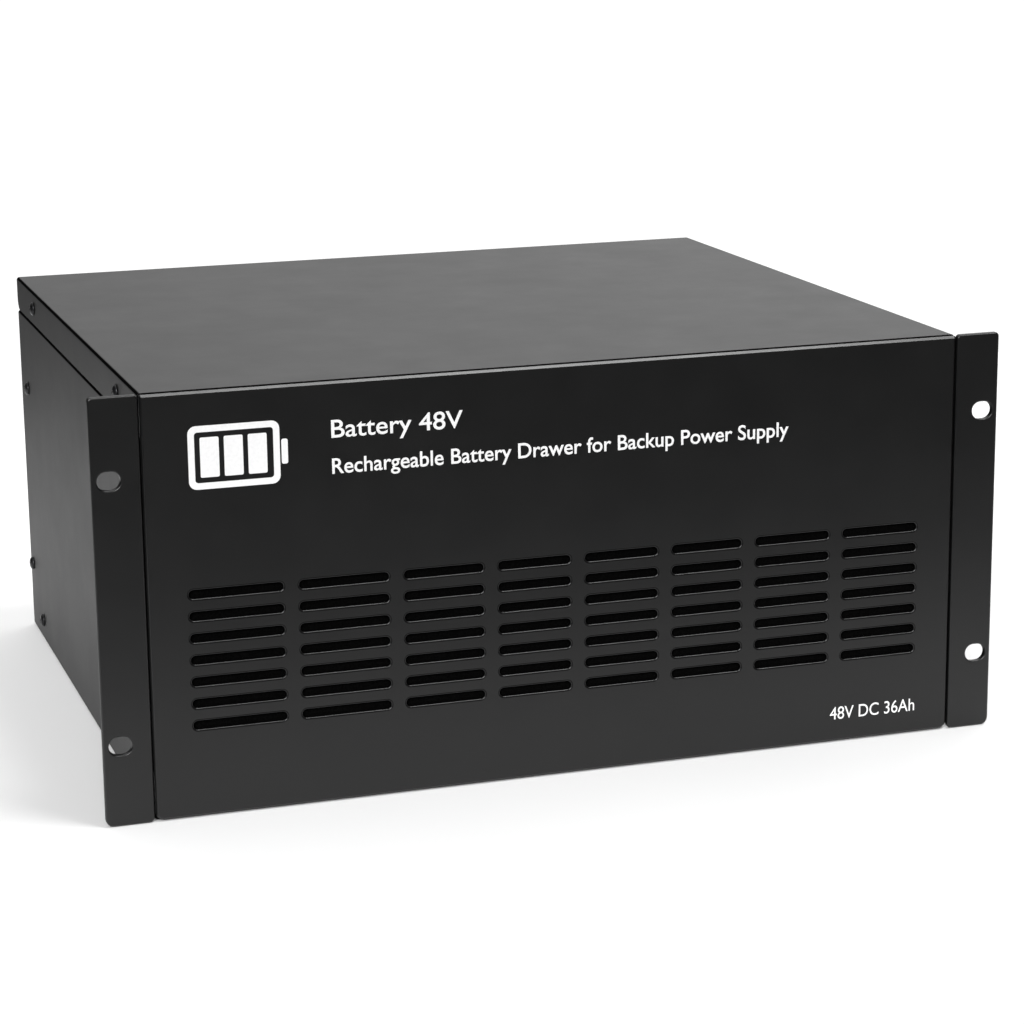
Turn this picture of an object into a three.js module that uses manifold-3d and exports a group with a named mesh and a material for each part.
import * as THREE from 'three';
import { mergeVertices } from 'three/addons/utils/BufferGeometryUtils.js';
import Module from 'manifold-3d';

// A rackmount battery pack: a folded steel enclosure with rack ears, and a battery drawer that
// slides out of its front once the snap-on front panel is off.
// Millimetres. X runs across the rack, Y from front to back, Z up. The geometry is laid out from
// the front face, y = 0, and the whole pack is then moved so that the origin is on the floor
// under the middle of the pack.

// ---- Driving dimensions ----

const PANEL_WIDTH = 482.6;       // 19-inch rack panel, over the ears
const RACK_UNIT = 44.45;         // pitch of the rack's own hole pattern
const RACK_HOLE_SPACING = 465.1; // between the rack's two columns of holes
const HEIGHT = 216;              // fits a five-unit opening
const BODY_WIDTH = 433.2;
const BODY_DEPTH = 380;
const REAR_PROUD = 10;           // how far the sockets stand behind the rear panel
const PLATE = 3;                 // front panel and ears
const SHEET = 1.5;               // folded steel sheet
const GAP = 0.3;                 // left between pieces that touch

const COVER_FLANGE = 19;         // how far the top cover folds down over the sides
const REAR_FLANGE = { depth: 34, low: 30, high: 185 };
// The front slots are longer towards the left, and each row has the same lengths and gaps.
const VENT = {
  rows: 7, pitchZ: 11.15, height: 4.4, lowest: 47.7, gap: 8,
  lengths: [47.5, 46, 41.5, 38.5, 39.5, 38.5, 41.5, 42.5],
};
const REAR_VENT = { rows: 7, columns: 6, pitchX: 50, pitchZ: 11.45, length: 42, height: 4.4, lowest: 45.6 };
const DRAWER_VENT = { rows: 4, columns: 8, pitchX: 46, pitchZ: 18, length: 38, height: 8, lowest: 56 };
const FILTER = { half: 204, low: 38, high: 124, thick: 4, corner: 3 };
const PANEL_CORNER = { low: 4, high: 1 };
const RACK_SLOT = { length: 11.6, height: 9.4, spacing: 3 * RACK_UNIT };
const EAR = { side: 3, corner: 4, depth: 70, reach: 84 }; // its side reaches this far above and below

const DRAWER_FRONT = 25;         // front face of the drawer's front plate
const GLIDE = 2;                 // nylon strip that the drawer runs on
const TRAY_WALL_TOP = 45;
const BATTERY = { width: 181, depth: 77, height: 162, terminalX: 75, terminalY: 22, terminal: 5 };
const ROWS = 4;
const CELL_GAP = 0.6;            // between neighbouring battery blocks
const LEAD = 3.5;                // radius of the battery leads
const CLIP = { x: 185, low: 22, high: 196 };
const THUMBSCREW = { x: 200, z: 108 };
const RAIL = { back: 350, height: 32, tabHeight: 128, stay: 26 };
const GLIDE_STRIP = { x: 150, half: 12, back: 345 };
const BRACKET = { half: 95, top: 205, holeX: 40 }; // at the back of the tray
const FRONT_PLATE = { half: 212.5, low: 2.5, high: 212.5 };
const STRAP = { half: 14, low: 14, thick: 1.2 };
const GRIP = { z: 192, length: 120, height: 28, wall: 3 };

const CONNECTOR_Z = 188;         // height of the rear connectors
const SOCKET_X = [-100, -170];
const SOCKET = { width: 50, height: 22, wall: 3, flange: 6, bladeX: 14 };
const BREAKER = { x: 112, z: 180, width: 22, height: 50, pivotY: 376, tilt: 22 };
const GROUND = { x: 175, stud: 3, nut: 6 };
const RECEPTACLE = { half: 55, reach: 12 }; // half its width and height, and so the plug's
const CONTACT_X = 25;            // the two poles of the drawer's own connector

// Side screws as [y, z]: the cover's two, then the three near the back edge.
const COVER_SCREWS = { front: [57, HEIGHT - 9.4], rear: [318, HEIGHT - 9.4] };
const SIDE_SCREWS = { upper: [355, 152.5], middle: [370, 41], lower: [339, 13] };
const SCREW = { head: 3.9, proud: 2.1, shank: 1.7, hole: 2.2, length: 6 };

// ---- Levels and faces that follow from them ----

const SIDE = BODY_WIDTH / 2;                              // outer face of the side walls
const INNER = SIDE - SHEET;
const TUCKED = INNER - GAP;                               // outer face of a wall inside a wall
const BODY_FRONT = PLATE + GAP;
const FLANGE_BOTTOM = HEIGHT - COVER_FLANGE;
const UNDER_COVER = HEIGHT - SHEET - GAP;
const FLOOR = SHEET + GAP;
const TRAY_BOTTOM = FLOOR + GLIDE + GAP;
const BATTERY_BOTTOM = TRAY_BOTTOM + SHEET + GAP;
const TERMINAL_TOP = BATTERY_BOTTOM + BATTERY.height + BATTERY.terminal;
const COLUMN_X = (BATTERY.width + CELL_GAP) / 2;
const ROW_PITCH = BATTERY.depth + CELL_GAP;
const TRAY_FRONT = DRAWER_FRONT + SHEET + GAP;
const FIRST_ROW = TRAY_FRONT + SHEET + CELL_GAP + BATTERY.depth / 2;
const TRAY_BACK = FIRST_ROW + (ROWS - 0.5) * ROW_PITCH + SHEET;
const TRAY_SIDE = 184.6;
const BRACKET_FACE = TRAY_BACK + GAP;                     // the drawer connector sits on it
const FUSE_FACE = TRAY_BACK - 23;
const RAIL_FACE = TRAY_SIDE + 1.4;

// ---- Solids ----

const wasm = await Module();
wasm.setup();

function toSolid(geometry) {
  const bare = geometry.clone();
  bare.deleteAttribute('normal');
  bare.deleteAttribute('uv');
  const merged = mergeVertices(bare);
  return new wasm.Manifold(new wasm.Mesh({
    numProp: 3,
    vertProperties: new Float32Array(merged.attributes.position.array),
    triVerts: new Uint32Array(merged.index.array),
  }));
}

function toGeometry(solid) {
  const mesh = solid.getMesh();
  const geometry = new THREE.BufferGeometry();
  geometry.setAttribute('position', new THREE.BufferAttribute(mesh.vertProperties, 3));
  geometry.setIndex(new THREE.BufferAttribute(mesh.triVerts, 1));
  geometry.computeVertexNormals();
  return geometry;
}

function join(first, ...others) {
  return toGeometry(others.reduce((sum, other) => sum.add(toSolid(other)), toSolid(first)));
}

function cut(first, ...tools) {
  return toGeometry(tools.reduce((rest, tool) => rest.subtract(toSolid(tool)), toSolid(first)));
}

// A box from pairs of limits, each pair in either order.
function block([x0, x1], [y0, y1], [z0, z1]) {
  const size = [Math.abs(x1 - x0), Math.abs(y1 - y0), Math.abs(z1 - z0)];
  return new THREE.BoxGeometry(...size).translate((x0 + x1) / 2, (y0 + y1) / 2, (z0 + z1) / 2);
}

// A shape drawn across the rack, in X and Z, extended back along Y from y = 0.
function upright(shape, depth, curveSegments = 2) {
  const options = { depth, bevelEnabled: false, curveSegments };
  return new THREE.ExtrudeGeometry(shape, options).rotateX(Math.PI / 2).translate(0, depth, 0);
}

function rodY(radius, [y0, y1], x = 0, z = 0, sides = 12) {
  return new THREE.CylinderGeometry(radius, radius, y1 - y0, sides).translate(x, (y0 + y1) / 2, z);
}

function rodX(radius, [x0, x1], y = 0, z = 0, sides = 8) {
  const rod = new THREE.CylinderGeometry(radius, radius, Math.abs(x1 - x0), sides);
  return rod.rotateZ(Math.PI / 2).translate((x0 + x1) / 2, y, z);
}

// A turned piece about the Y axis, from [radius, y] points that start and end on the axis.
function turned(points, sides = 12) {
  return new THREE.LatheGeometry(points.map(([r, y]) => new THREE.Vector2(r, y)), sides);
}

function roundedRectangle(x, z, width, height, radius, topRadius = radius) {
  const quarter = Math.PI / 2;
  const shape = new THREE.Shape();
  shape.absarc(x + width - radius, z + radius, radius, -quarter, 0);
  shape.absarc(x + width - topRadius, z + height - topRadius, topRadius, 0, quarter);
  shape.absarc(x + topRadius, z + height - topRadius, topRadius, quarter, 2 * quarter);
  shape.absarc(x + radius, z + radius, radius, 2 * quarter, 3 * quarter);
  shape.closePath();
  return shape;
}

function centredRectangle(x, z, width, height, radius) {
  return roundedRectangle(x - width / 2, z - height / 2, width, height, radius);
}

function obround(x, z, length, height) {
  const radius = height / 2;
  const shape = new THREE.Shape();
  shape.absarc(x + length / 2 - radius, z, radius, -Math.PI / 2, Math.PI / 2);
  shape.absarc(x - length / 2 + radius, z, radius, Math.PI / 2, 3 * Math.PI / 2);
  shape.closePath();
  return shape;
}

function polygon(points) {
  return new THREE.Shape(points.map(([x, z]) => new THREE.Vector2(x, z)));
}

// A symmetric outline from its right-hand half, listed from the centre line outwards and back.
function mirroredPolygon(half) {
  const left = half.map(([x, z]) => [-x, z]).reverse();
  return polygon([...half, ...left]);
}

function lead(curve, steps) {
  const section = new THREE.Shape().absarc(0, 0, LEAD, 0, 2 * Math.PI);
  const options = { steps, extrudePath: curve, bevelEnabled: false, curveSegments: 4 };
  return new THREE.ExtrudeGeometry(section, options);
}

// A lead laid in straight runs from point to point, with each corner rounded off.
function routedLead(points, steps, bend = 12) {
  const corners = points.map((point) => new THREE.Vector3(...point));
  const path = new THREE.CurvePath();
  let start = corners[0];
  for (let i = 1; i < corners.length - 1; i += 1) {
    const corner = corners[i];
    const before = corners[i - 1].clone().sub(corner).setLength(bend).add(corner);
    const after = corners[i + 1].clone().sub(corner).setLength(bend).add(corner);
    path.add(new THREE.LineCurve3(start, before));
    path.add(new THREE.QuadraticBezierCurve3(before, corner, after));
    start = after;
  }
  path.add(new THREE.LineCurve3(start, corners.at(-1)));
  return lead(path, steps);
}

// ---- Finishes ----

const FINISHES = {
  powderCoat: { color: 0x1b1b1c, roughness: 0.42, metalness: 0.1 },
  zincSteel: { color: 0xb4b8ba, roughness: 0.38, metalness: 0.9 },
  blackScrew: { color: 0x0f0f10, roughness: 0.35, metalness: 0.6 },
  nylon: { color: 0xe4e2da, roughness: 0.55, metalness: 0 },
  batteryCase: { color: 0x4a4d50, roughness: 0.6, metalness: 0 },
  redLead: { color: 0xb3201b, roughness: 0.5, metalness: 0 },
  blackLead: { color: 0x151515, roughness: 0.5, metalness: 0 },
  blackPlastic: { color: 0x18191a, roughness: 0.5, metalness: 0 },
  foam: { color: 0x0c0c0c, roughness: 1, metalness: 0 },
  greyPlastic: { color: 0x6d7173, roughness: 0.5, metalness: 0 },
  fuseBody: { color: 0xd8d2bd, roughness: 0.4, metalness: 0 },
  nickel: { color: 0xc9c7c0, roughness: 0.25, metalness: 1 },
  brass: { color: 0xb58a3c, roughness: 0.3, metalness: 1 },
};

function piece(name, geometry, finish, [x, y, z] = [0, 0, 0]) {
  const mesh = new THREE.Mesh(geometry, new THREE.MeshStandardMaterial(FINISHES[finish]));
  mesh.name = name;
  mesh.position.set(x, y, z);
  return mesh;
}

// ---- Enclosure ----

function sideScrewHoles(screws) {
  const places = Object.values(screws);
  return places.map(([y, z]) => rodX(SCREW.hole, [-SIDE - 1, SIDE + 1], y, z));
}

// Floor and sides are one folded pan, and its sides step inwards under the cover's flanges.
function chassisBase() {
  const step = FLANGE_BOTTOM - GAP;
  const profile = mirroredPolygon([
    [SIDE, 0], [SIDE, step], [TUCKED, step], [TUCKED, UNDER_COVER], [TUCKED - SHEET, UNDER_COVER],
    [TUCKED - SHEET, step - SHEET], [INNER, step - SHEET], [INNER, SHEET],
  ]);
  const pan = upright(profile, BODY_DEPTH - BODY_FRONT).translate(0, BODY_FRONT, 0);
  return cut(pan, ...sideScrewHoles(COVER_SCREWS), ...sideScrewHoles(SIDE_SCREWS));
}

function topCover() {
  const profile = mirroredPolygon([
    [INNER, HEIGHT - SHEET], [INNER, FLANGE_BOTTOM], [SIDE, FLANGE_BOTTOM], [SIDE, HEIGHT],
  ]);
  const lid = upright(profile, BODY_DEPTH - BODY_FRONT).translate(0, BODY_FRONT, 0);
  return cut(lid, ...sideScrewHoles(COVER_SCREWS));
}

// Square-ended vents that are cut through a plate, in rows and columns centred across the rack.
function ventCutters({ rows, columns, pitchX, pitchZ, length, height, lowest }, [y0, y1]) {
  const cutters = [];
  for (let row = 0; row < rows; row += 1) {
    for (let column = 0; column < columns; column += 1) {
      const x = (column - (columns - 1) / 2) * pitchX;
      const z = lowest + row * pitchZ;
      cutters.push(block([x - length / 2, x + length / 2], [y0, y1], [z - height / 2, z + height / 2]));
    }
  }
  return cutters;
}

// The back closes the pan between its sides, and two flanges forward take the side screws.
function rearPanel() {
  const step = FLANGE_BOTTOM - GAP - SHEET - GAP;
  const narrow = TUCKED - SHEET - GAP;
  const outline = mirroredPolygon([
    [TUCKED, FLOOR], [TUCKED, step], [narrow, step], [narrow, UNDER_COVER],
  ]);
  for (const x of SOCKET_X) {
    const [across, up] = [SOCKET.width + 2 * GAP, SOCKET.height + 2 * GAP];
    outline.holes.push(centredRectangle(x, CONNECTOR_Z, across, up, 2));
  }
  const { x, z, width, height } = BREAKER;
  outline.holes.push(centredRectangle(x, z, width + 2 * GAP, height + 2 * GAP, 1));
  const studHole = 2 * (GROUND.stud + GAP);
  outline.holes.push(centredRectangle(GROUND.x, CONNECTOR_Z, studHole, studHole, GROUND.stud));
  const plate = upright(outline, SHEET, 1).translate(0, BODY_DEPTH - SHEET, 0);
  const flanges = [-1, 1].map((side) => block(
    [side * (TUCKED - SHEET), side * TUCKED],
    [BODY_DEPTH - REAR_FLANGE.depth, BODY_DEPTH - SHEET / 2],
    [REAR_FLANGE.low, REAR_FLANGE.high],
  ));
  const vents = ventCutters(REAR_VENT, [BODY_DEPTH - SHEET - 1, BODY_DEPTH + 1]);
  return cut(join(plate, ...flanges), ...vents, ...sideScrewHoles(SIDE_SCREWS));
}

// An ear is an angle bracket. It is centred in height, so turning it over makes the other hand.
function rackEar() {
  const inner = SIDE + GAP;
  const outer = PANEL_WIDTH / 2;
  const outline = roundedRectangle(inner, -HEIGHT / 2, outer - inner, HEIGHT, EAR.corner);
  for (const end of [-1, 1]) {
    const z = end * RACK_SLOT.spacing / 2;
    outline.holes.push(obround(RACK_HOLE_SPACING / 2, z, RACK_SLOT.length, RACK_SLOT.height));
  }
  const face = upright(outline, PLATE);
  const side = block([inner, inner + EAR.side], [PLATE / 2, EAR.depth], [-EAR.reach, EAR.reach]);
  return join(face, side);
}

function sideScrew() {
  const { head, proud, shank, length } = SCREW;
  return turned([
    [0, -length], [shank, -length], [shank, 0], [head, 0], [head, proud * 0.45],
    [head * 0.6, proud], [0, proud],
  ]).rotateZ(-Math.PI / 2);
}

function addSideScrews(group, label, screws) {
  for (const side of [-1, 1]) {
    for (const [place, [y, z]] of Object.entries(screws)) {
      const hand = side < 0 ? 'left' : 'right';
      const screw = piece(`${label}_${hand}_${place}`, sideScrew(), 'blackScrew',
        [side * (SIDE + GAP), y, z]);
      screw.rotation.z = side < 0 ? Math.PI : 0;
      group.add(screw);
    }
  }
}

// A guide rail keeps the drawer straight. Its front tab stops the drawer and takes the thumbscrew.
function guideRail(side) {
  const face = RAIL_FACE;
  const { back, height, tabHeight } = RAIL;
  const wall = [side * face, side * (face + SHEET)];
  const rail = block(wall, [TRAY_FRONT, back], [FLOOR, height]);
  const tab = block(
    [side * face, side * (INNER - GAP)],
    [TRAY_FRONT, TRAY_FRONT + SHEET],
    [FLOOR, tabHeight],
  );
  const foot = block([side * face, side * (face + 14)], [TRAY_FRONT, back], [FLOOR, FLOOR + SHEET]);
  const stay = block([side * face, side * TUCKED], [back - SHEET, back], [FLOOR, RAIL.stay]);
  const ear = block([side * (TUCKED - SHEET), side * TUCKED], [back - 24, back], [FLOOR, RAIL.stay]);
  const holes = [
    rodY(3.2, [TRAY_FRONT - 1, TRAY_FRONT + 3], side * THUMBSCREW.x, THUMBSCREW.z),
    rodX(SCREW.hole, [side * (TUCKED - 4), side * SIDE], ...SIDE_SCREWS.lower),
  ];
  return cut(join(rail, tab, foot, stay, ear), ...holes);
}

function glideStrip() {
  return block([-GLIDE_STRIP.half, GLIDE_STRIP.half], [TRAY_FRONT, GLIDE_STRIP.back], [0, GLIDE]);
}

// ---- Rear connectors ----

// A two-pole battery socket: a moulded shell with a mounting flange and two contact blades.
function batterySocket() {
  const { width, height, wall, flange: rim, bladeX } = SOCKET;
  const shell = upright(centredRectangle(0, 0, width, height, 2), 20 + REAR_PROUD, 1);
  const flange = upright(centredRectangle(0, 0, width + 2 * rim, height + 2 * rim - 2, 3), 2, 1)
    .translate(0, 20 + GAP, 0);
  const cavity = upright(centredRectangle(0, 0, width - 2 * wall, height - 2 * wall, 1), 20, 1)
    .translate(0, 14, 0);
  const blades = [-bladeX, bladeX].map((x) => block([x - 1, x + 1], [13, 25], [-5, 5]));
  return join(cut(join(shell, flange), cavity), ...blades);
}

function breakerHousing() {
  const { width, height, pivotY } = BREAKER;
  const body = block([-width / 2, width / 2], [348, BODY_DEPTH + GAP + 1], [-height / 2, height / 2]);
  const bezel = upright(centredRectangle(0, 0, width + 6, height + 8, 2), 2, 1)
    .translate(0, BODY_DEPTH + GAP, 0);
  const pocket = block([-3.3, 3.3], [pivotY - 6, BODY_DEPTH + 4], [-12, 12]);
  const trunnions = rodX(1.9, [-7, 7], pivotY, 0);
  return cut(join(body, bezel), pocket, trunnions);
}

// The toggle turns about X on its trunnions, and stands tilted up when the breaker is on.
function breakerToggle() {
  const hub = rodX(3.6, [-3, 3], 0, 0, 16);
  const trunnions = rodX(1.6, [-6.5, 6.5], 0, 0);
  const handle = new THREE.CylinderGeometry(2, 2.8, 10, 12).translate(0, 7.5, 0);
  return join(hub, trunnions, handle).rotateX(THREE.MathUtils.degToRad(BREAKER.tilt));
}

function groundStud() {
  const out = BODY_DEPTH + GAP;
  const inside = BODY_DEPTH - SHEET - GAP;
  const { stud, nut } = GROUND;
  const end = BODY_DEPTH + REAR_PROUD - 0.5;
  return turned([
    [0, inside - 7], [stud, inside - 7], [stud, inside - 5], [nut, inside - 5], [nut, inside],
    [stud, inside], [stud, out], [nut, out], [nut, out + 4.5], [stud, out + 4.5], [stud, end], [0, end],
  ]);
}

// The enclosure's half of the drawer connector: two round pins that stand forward.
function drawerReceptacle() {
  const back = BODY_DEPTH - SHEET - GAP;
  const { half, reach } = RECEPTACLE;
  const body = block([-half, half], [BRACKET_FACE + 21, back], [-reach, reach]);
  const pins = [-CONTACT_X, CONTACT_X].map((x) => rodY(5, [BRACKET_FACE + 10, back - 4], x, 0));
  return join(body, ...pins);
}

function addEnclosureLeads(group) {
  const y = BODY_DEPTH - 10;
  const { x, z, width, height } = BREAKER;
  const breakerSide = x - width / 2 - GAP;
  const socket = SOCKET_X[0];
  const low = 140;
  const feed = routedLead([
    [RECEPTACLE.half + GAP, y, CONNECTOR_Z], [RECEPTACLE.half + 11, y, CONNECTOR_Z],
    [breakerSide - 14, y - 8, CONNECTOR_Z], [breakerSide, y - 8, CONNECTOR_Z],
  ], 12, 8);
  const negative = routedLead([
    [-RECEPTACLE.half - GAP, y, CONNECTOR_Z], [socket + SOCKET.width / 2 + GAP, y, CONNECTOR_Z],
  ], 2);
  const positive = routedLead([
    [x, y, z - height / 2 - GAP], [x, y, low], [socket, y, low],
    [socket, y, CONNECTOR_Z - SOCKET.height / 2 - GAP],
  ], 30);
  group.add(piece('breaker_feed_lead', feed, 'redLead'));
  group.add(piece('socket_negative_lead', negative, 'blackLead'));
  group.add(piece('socket_positive_lead', positive, 'redLead'));
}

function enclosure() {
  const group = new THREE.Group();
  group.add(piece('chassis_base', chassisBase(), 'powderCoat'));
  group.add(piece('top_cover', topCover(), 'powderCoat'));
  group.add(piece('rear_panel', rearPanel(), 'powderCoat'));
  const ear = piece('rack_ear_right', rackEar(), 'powderCoat', [0, 0, HEIGHT / 2]);
  const otherEar = piece('rack_ear_left', rackEar(), 'powderCoat', [0, 0, HEIGHT / 2]);
  otherEar.rotation.y = Math.PI;
  group.add(ear, otherEar);
  for (const [hand, side] of [['left', -1], ['right', 1]]) {
    group.add(piece(`guide_rail_${hand}`, guideRail(side), 'zincSteel'));
    group.add(piece(`glide_strip_${hand}`, glideStrip(), 'nylon', [side * GLIDE_STRIP.x, 0, FLOOR]));
  }
  addSideScrews(group, 'cover_screw', COVER_SCREWS);
  addSideScrews(group, 'side_screw', SIDE_SCREWS);
  group.add(piece('output_socket', batterySocket(), 'greyPlastic',
    [SOCKET_X[0], BODY_DEPTH - 20, CONNECTOR_Z]));
  group.add(piece('expansion_socket', batterySocket(), 'greyPlastic',
    [SOCKET_X[1], BODY_DEPTH - 20, CONNECTOR_Z]));
  group.add(piece('breaker_housing', breakerHousing(), 'blackPlastic', [BREAKER.x, 0, BREAKER.z]));
  group.add(piece('breaker_toggle', breakerToggle(), 'blackPlastic',
    [BREAKER.x, BREAKER.pivotY, BREAKER.z]));
  group.add(piece('ground_stud', groundStud(), 'brass', [GROUND.x, 0, CONNECTOR_Z]));
  group.add(piece('drawer_receptacle', drawerReceptacle(), 'blackPlastic', [0, 0, CONNECTOR_Z]));
  addEnclosureLeads(group);
  return group;
}

// ---- Battery drawer ----

function drawerTray() {
  const outer = block([-TRAY_SIDE, TRAY_SIDE], [TRAY_FRONT, TRAY_BACK], [TRAY_BOTTOM, TRAY_WALL_TOP]);
  const hollow = block(
    [SHEET - TRAY_SIDE, TRAY_SIDE - SHEET],
    [TRAY_FRONT + SHEET, TRAY_BACK - SHEET],
    [TRAY_BOTTOM + SHEET, TRAY_WALL_TOP + 1],
  );
  const { half, top, holeX } = BRACKET;
  const bracket = block([-half, half], [TRAY_BACK - SHEET, TRAY_BACK], [TRAY_WALL_TOP - 1, top]);
  const holes = [-holeX, 0, holeX].map((x) => rodY(5, [TRAY_BACK - 4, TRAY_BACK + 4], x, CONNECTOR_Z));
  return cut(join(cut(outer, hollow), bracket), ...holes);
}

function drawerFront() {
  const { half, low, high } = FRONT_PLATE;
  const outline = polygon([[-half, low], [half, low], [half, high], [-half, high]]);
  outline.holes.push(obround(0, GRIP.z, GRIP.length, GRIP.height));
  for (const side of [-1, 1]) {
    outline.holes.push(centredRectangle(side * THUMBSCREW.x, THUMBSCREW.z, 6.4, 6.4, 3.1));
  }
  const plate = upright(outline, SHEET).translate(0, DRAWER_FRONT, 0);
  return cut(plate, ...ventCutters(DRAWER_VENT, [DRAWER_FRONT - 1, DRAWER_FRONT + SHEET + 1]));
}

// The hand hole's moulded lining, with a rim in front of the drawer's front plate.
function pullGrip() {
  const { z, length, height, wall } = GRIP;
  const rim = upright(obround(0, z, length + 8, height + 8), 2.2).translate(0, DRAWER_FRONT - 2.2 - GAP, 0);
  const sleeve = upright(obround(0, z, length - 2 * GAP, height - 2 * GAP), 15)
    .translate(0, DRAWER_FRONT - 2, 0);
  const hand = upright(obround(0, z, length - 2 * wall, height - 2 * wall), 30)
    .translate(0, DRAWER_FRONT - 10, 0);
  return cut(join(rim, sleeve), hand);
}

function batteryBlock() {
  const { width, depth, height, terminalX, terminalY, terminal } = BATTERY;
  const outline = centredRectangle(0, 0, width, depth, 3);
  const options = { depth: height, bevelEnabled: false, curveSegments: 2 };
  const box = new THREE.ExtrudeGeometry(outline, options);
  const terminals = [-terminalX, terminalX].map((x) => block(
    [x - 6, x + 6],
    [-terminalY - 7, -terminalY + 7],
    [height - 1, height + terminal],
  ));
  return join(box, ...terminals);
}

// Blocks in a column stand back to back in pairs, so that neighbouring terminals face each other.
function addBatteries(group) {
  let number = 1;
  for (const side of [-1, 1]) {
    for (let row = 0; row < ROWS; row += 1) {
      const place = [side * COLUMN_X, FIRST_ROW + row * ROW_PITCH, BATTERY_BOTTOM];
      const battery = piece(`battery_${number}`, batteryBlock(), 'batteryCase', place);
      battery.rotation.z = row % 2 === 0 ? Math.PI : 0;
      group.add(battery);
      number += 1;
    }
  }
}

// A jumper lead arches from one terminal to another, straight behind it.
function jumperLead(span, rise) {
  const handle = rise * 4 / 3;
  return lead(new THREE.CubicBezierCurve3(
    new THREE.Vector3(0, 0, 0),
    new THREE.Vector3(0, 0, handle),
    new THREE.Vector3(0, span, handle),
    new THREE.Vector3(0, span, 0),
  ), 12);
}

function addJumpers(group) {
  const near = ROW_PITCH - 2 * BATTERY.terminalY;
  const far = ROW_PITCH + 2 * BATTERY.terminalY;
  const top = TERMINAL_TOP + GAP;
  let number = 1;
  for (const side of [-1, 1]) {
    const outer = side * (COLUMN_X + BATTERY.terminalX);
    const inner = side * (COLUMN_X - BATTERY.terminalX);
    const facing = FIRST_ROW + BATTERY.terminalY;
    const backing = FIRST_ROW + ROW_PITCH - BATTERY.terminalY;
    const jumpers = [
      [outer, facing, near, 18],
      [inner, backing, far, 22],
      [outer, facing + 2 * ROW_PITCH, near, 18],
    ];
    for (const [x, y, span, rise] of jumpers) {
      group.add(piece(`jumper_lead_${number}`, jumperLead(span, rise), 'blackLead', [x, y, top]));
      number += 1;
    }
  }
}

// The two front terminals feed the fuse, and the two rear ones go straight to the connector.
function addStringLeads(group) {
  const inner = COLUMN_X - BATTERY.terminalX;
  const top = TERMINAL_TOP + GAP;
  const frontY = FIRST_ROW + BATTERY.terminalY;
  const rearY = FIRST_ROW + (ROWS - 1) * ROW_PITCH - BATTERY.terminalY;
  for (const [hand, side] of [['left', -1], ['right', 1]]) {
    const positive = routedLead([
      [side * inner, frontY, top], [side * inner, frontY, CONNECTOR_Z],
      [side * 5, frontY + 30, CONNECTOR_Z], [side * 5, FUSE_FACE - GAP, CONNECTOR_Z],
    ], 30, 11);
    const negative = routedLead([
      [side * inner, rearY, top], [side * inner, rearY, CONNECTOR_Z],
      [side * BRACKET.holeX, rearY + 28, CONNECTOR_Z],
      [side * BRACKET.holeX, BRACKET_FACE - GAP, CONNECTOR_Z],
    ], 16, 11);
    group.add(piece(`positive_lead_${hand}`, positive, 'redLead'));
    group.add(piece(`negative_lead_${hand}`, negative, 'blackLead'));
  }
}

// A strap over the middle of the pack, with a leg down inside each tray wall.
function holdDownStrap() {
  const leg = 2 * COLUMN_X - CELL_GAP / 2 + GAP;
  const middle = FIRST_ROW + (ROWS - 1) / 2 * ROW_PITCH;
  const { half, low, thick } = STRAP;
  const y = [middle - half, middle + half];
  const top = BATTERY_BOTTOM + BATTERY.height + GAP;
  const bar = block([-leg - thick, leg + thick], y, [top, top + thick]);
  const legs = [-1, 1].map((side) => block([side * leg, side * (leg + thick)], y, [low, top + thick]));
  return join(bar, ...legs);
}

// The fuse sits on the front of the tray's bracket, and its stub passes through to the connector.
function fuseHolder() {
  const face = TRAY_BACK - SHEET - GAP;
  const body = block([-24, 24], [FUSE_FACE, face], [-12, 12]);
  return join(body, rodY(4.5, [face - 2, BRACKET_FACE - GAP]));
}

function drawerPlug() {
  const { half, reach } = RECEPTACLE;
  const body = block([-half, half], [BRACKET_FACE, BRACKET_FACE + 15], [-reach, reach]);
  const sockets = [-CONTACT_X, CONTACT_X].map((x) => (
    rodY(5.4, [BRACKET_FACE + 4, BRACKET_FACE + 16], x, 0)
  ));
  return cut(body, ...sockets);
}

// A nylon cup that grips one of the front panel's ball studs.
function panelClip() {
  const cup = rodY(7, [DRAWER_FRONT - 13, DRAWER_FRONT - GAP]);
  const bore = rodY(4.5, [DRAWER_FRONT - 14, DRAWER_FRONT - 3]);
  return cut(cup, bore);
}

function thumbscrew() {
  const plate = DRAWER_FRONT - GAP;
  return turned([
    [0, plate - 12], [5.6, plate - 12], [6.6, plate - 11], [6.6, plate - 3], [4.2, plate - 2.4],
    [4.2, plate], [2.5, plate], [2.5, plate + 10], [0, plate + 10],
  ], 16);
}

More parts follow.
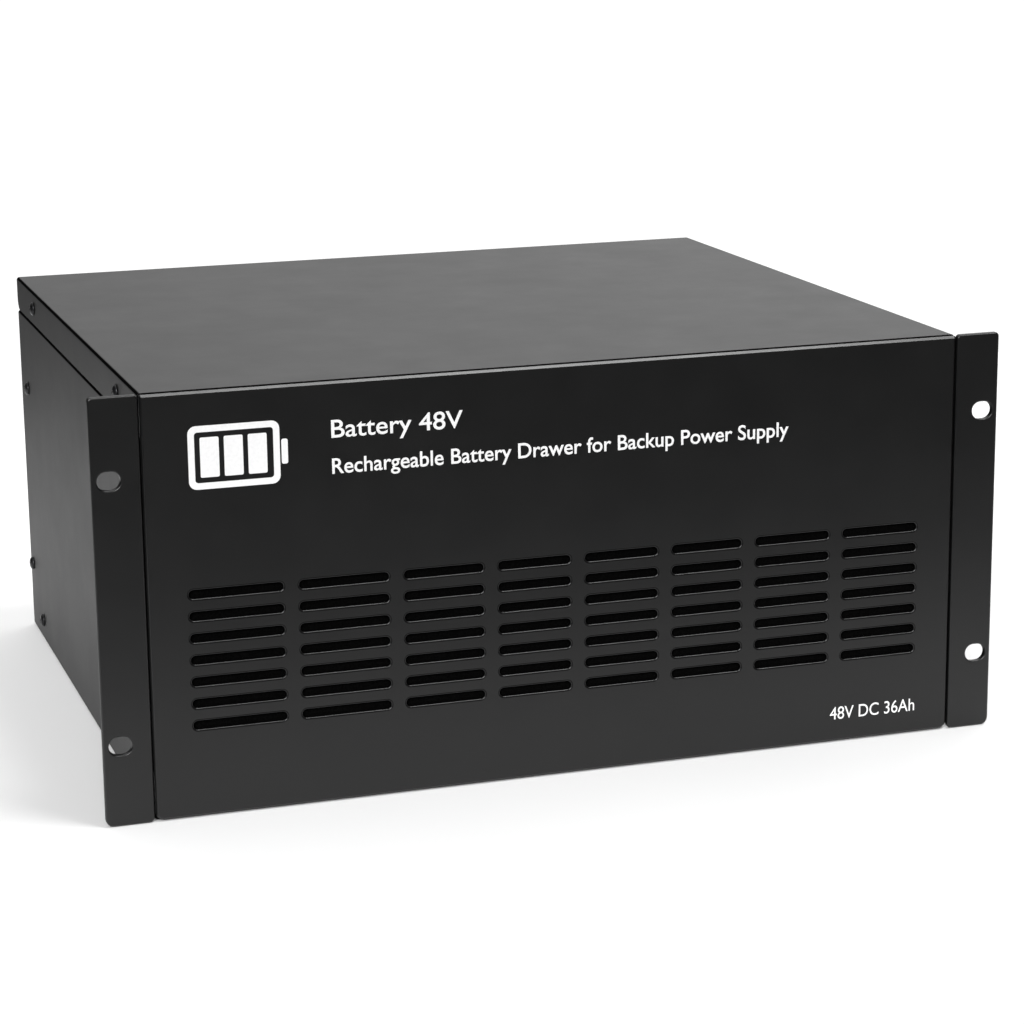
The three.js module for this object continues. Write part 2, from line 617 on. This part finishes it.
function drawer() {
  const group = new THREE.Group();
  group.add(piece('drawer_tray', drawerTray(), 'zincSteel'));
  group.add(piece('drawer_front', drawerFront(), 'powderCoat'));
  group.add(piece('pull_grip', pullGrip(), 'blackPlastic'));
  addBatteries(group);
  addJumpers(group);
  addStringLeads(group);
  group.add(piece('hold_down_strap', holdDownStrap(), 'zincSteel'));
  group.add(piece('fuse_holder', fuseHolder(), 'fuseBody', [0, 0, CONNECTOR_Z]));
  group.add(piece('drawer_plug', drawerPlug(), 'blackPlastic', [0, 0, CONNECTOR_Z]));
  for (const [hand, side] of [['left', -1], ['right', 1]]) {
    group.add(piece(`thumbscrew_${hand}`, thumbscrew(), 'nickel', [side * THUMBSCREW.x, 0, THUMBSCREW.z]));
    group.add(piece(`panel_clip_${hand}_low`, panelClip(), 'nylon', [side * CLIP.x, 0, CLIP.low]));
    group.add(piece(`panel_clip_${hand}_high`, panelClip(), 'nylon', [side * CLIP.x, 0, CLIP.high]));
  }
  return group;
}

// ---- Front panel ----

function ballStud() {
  const centre = DRAWER_FRONT - 8.5;
  const ball = new THREE.SphereGeometry(4, 10, 8).translate(0, centre, 0);
  return join(rodY(2.5, [PLATE / 2, centre], 0, 0, 10), ball);
}

function frontPanel() {
  const side = SIDE - GAP;
  const edge = 0.5;
  const { low, high } = PANEL_CORNER;
  const outline = roundedRectangle(-side, edge, 2 * side, HEIGHT - 2 * edge, low, high);
  const row = VENT.lengths.reduce((sum, length) => sum + length, (VENT.lengths.length - 1) * VENT.gap);
  let left = -row / 2;
  for (const length of VENT.lengths) {
    for (let k = 0; k < VENT.rows; k += 1) {
      outline.holes.push(obround(left + length / 2, VENT.lowest + k * VENT.pitchZ, length, VENT.height));
    }
    left += length + VENT.gap;
  }
  const studs = [];
  for (const x of [-CLIP.x, CLIP.x]) {
    for (const z of [CLIP.low, CLIP.high]) {
      studs.push(ballStud().translate(x, 0, z));
    }
  }
  return join(upright(outline, PLATE), ...studs);
}

// An open foam pad stuck on behind the slots, to keep dust out.
function filterPad() {
  const { half, low, high, thick, corner } = FILTER;
  const outline = roundedRectangle(-half, low, 2 * half, high - low, corner);
  return upright(outline, thick).translate(0, PLATE + GAP, 0);
}

// ---- The pack ----

const pack = new THREE.Group();
pack.add(enclosure(), drawer());
pack.add(piece('front_panel', frontPanel(), 'powderCoat'), piece('filter_pad', filterPad(), 'foam'));
pack.position.y = -(BODY_DEPTH + REAR_PROUD) / 2;

export default pack;
